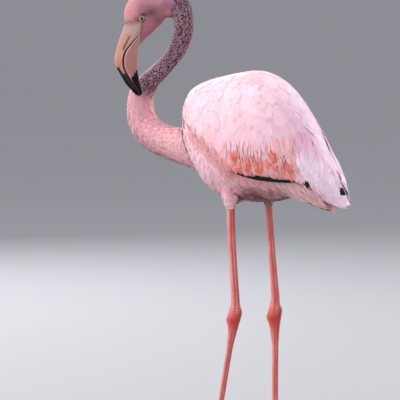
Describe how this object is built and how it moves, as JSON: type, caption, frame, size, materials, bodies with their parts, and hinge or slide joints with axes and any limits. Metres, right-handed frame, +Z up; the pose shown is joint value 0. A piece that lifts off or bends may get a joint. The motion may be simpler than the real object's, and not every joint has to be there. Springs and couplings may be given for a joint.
{
  "type": "flamingo model",
  "caption": "Life-size still model of a standing flamingo, its neck in an S and its bill hanging in front, on two webbed feet.",
  "frame": {"origin": "on the floor, below the middle of the bird's outline", "axes": "+Z up, the bird faces -X, its left side is -Y"},
  "size_m": [0.4516, 0.1742, 0.8653],
  "materials": {
    "breast_plumage": "soft short feathers, dusky rose",
    "wing_plumage": "long smooth feathers, pale pink with coral and white plumes",
    "tail_plumage": "short stiff feathers, peach",
    "neck_plumage": "velvet-short feathers, rose to mauve with dark specks",
    "head_plumage": "velvet-short feathers, rose red",
    "bill_upper": "smooth horn, flesh pink with a black tip",
    "bill_lower": "smooth horn, dusky pink with a black tip",
    "eye": "wet gloss, pale straw iris and dark pupil",
    "leg_skin": "scaled skin, coral red",
    "foot_skin": "scaled skin and web, coral red"
  },
  "bodies": {
    "root": {"trunk": "breast_plumage", "tail": "tail_plumage", "wing_left": "wing_plumage", "wing_right": "wing_plumage", "neck_base": "neck_plumage", "neck_breast_curve": "neck_plumage", "neck_front": "neck_plumage", "neck_middle": "neck_plumage", "neck_upper": "neck_plumage", "neck_nape": "neck_plumage", "head": "head_plumage", "bill_upper": "bill_upper", "bill_lower": "bill_lower", "eye_left": "eye", "eye_right": "eye", "thigh_left": "breast_plumage", "shank_left": "leg_skin", "ankle_left": "leg_skin", "tarsus_left": "leg_skin", "foot_left": "foot_skin", "thigh_right": "breast_plumage", "shank_right": "leg_skin", "ankle_right": "leg_skin", "tarsus_right": "leg_skin", "foot_right": "foot_skin"}
  },
  "joints": []
}
